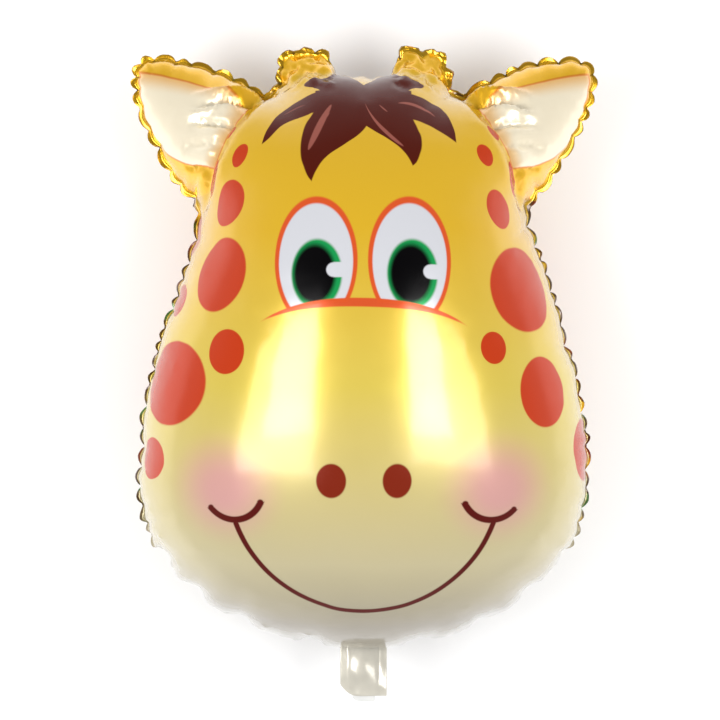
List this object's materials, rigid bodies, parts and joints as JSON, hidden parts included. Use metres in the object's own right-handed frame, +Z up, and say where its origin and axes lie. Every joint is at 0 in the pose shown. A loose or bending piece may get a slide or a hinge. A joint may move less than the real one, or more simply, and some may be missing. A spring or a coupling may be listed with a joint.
{
  "type": "animal foil balloon",
  "caption": "Inflated giraffe-head foil balloon lying on its back, with puffed ears and horns, a sealed edge in small tabs and a neck holding its filling valve.",
  "frame": {"origin": "middle of the bounding box on the floor, under the balloon", "axes": "+Z up, out of the printed face; +Y towards the crown and horns, with the neck at -Y; +X towards the ear on the right of someone looking down at the face"},
  "size_m": [0.493, 0.6884, 0.319],
  "materials": {
    "printed_foil": "glossy, pearly metallised film with a printed face",
    "valve_film": "clear milky film"
  },
  "bodies": {
    "root": {"envelope": "printed_foil", "filling_valve": "valve_film"}
  },
  "joints": []
}
